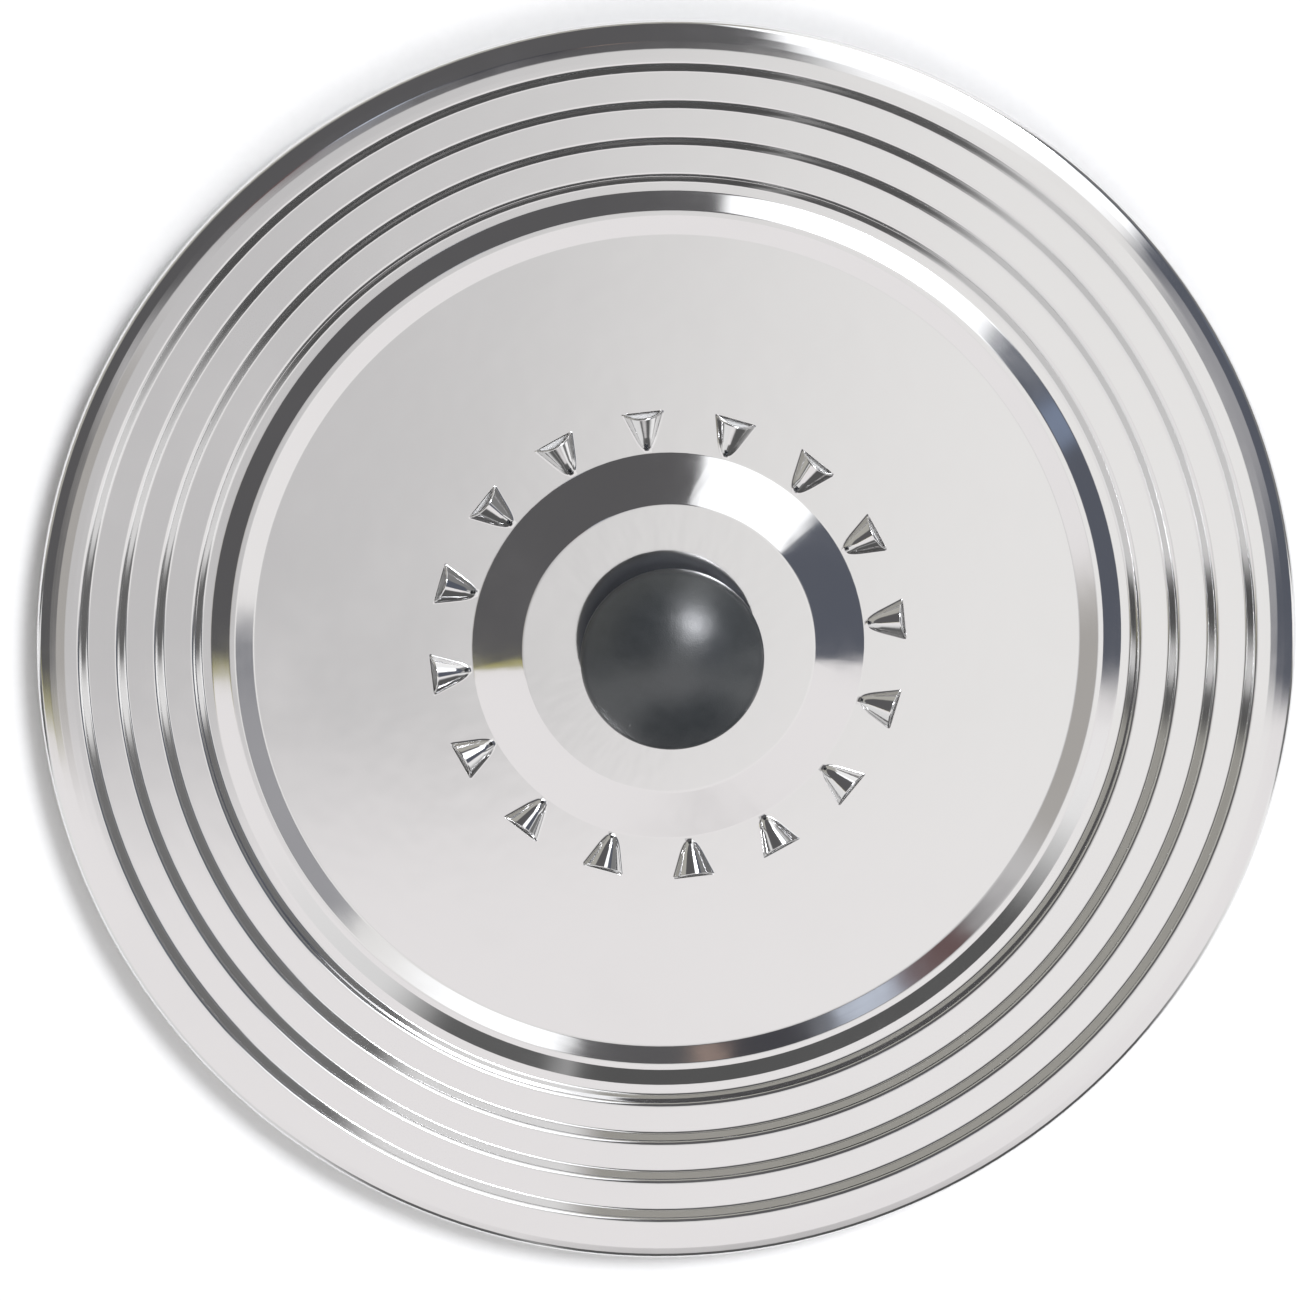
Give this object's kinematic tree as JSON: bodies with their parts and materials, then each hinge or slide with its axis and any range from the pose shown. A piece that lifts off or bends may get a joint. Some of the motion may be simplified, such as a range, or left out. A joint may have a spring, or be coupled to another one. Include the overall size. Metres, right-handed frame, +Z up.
{
  "type": "universal pan lid",
  "caption": "Round pressed-steel pan lid with concentric steps for several pan sizes, a ring of steam louvres and a dark domed knob.",
  "frame": {"origin": "on the lid's axis, on the surface that the lid stands on", "axes": "+Z up along the axis towards the knob, +X through the middle of one louvre"},
  "size_m": [0.3403, 0.3404, 0.0302],
  "materials": {
    "polished_steel": "polished",
    "knob_phenolic": "satin",
    "insert_brass": "satin",
    "screw_steel": "satin",
    "washer_steel": "satin"
  },
  "bodies": {
    "root": {"lid_disc": "polished_steel", "knob": "knob_phenolic", "threaded_insert": "insert_brass", "knob_screw": "screw_steel", "toothed_washer": "washer_steel", "flat_washer": "washer_steel"}
  },
  "joints": []
}
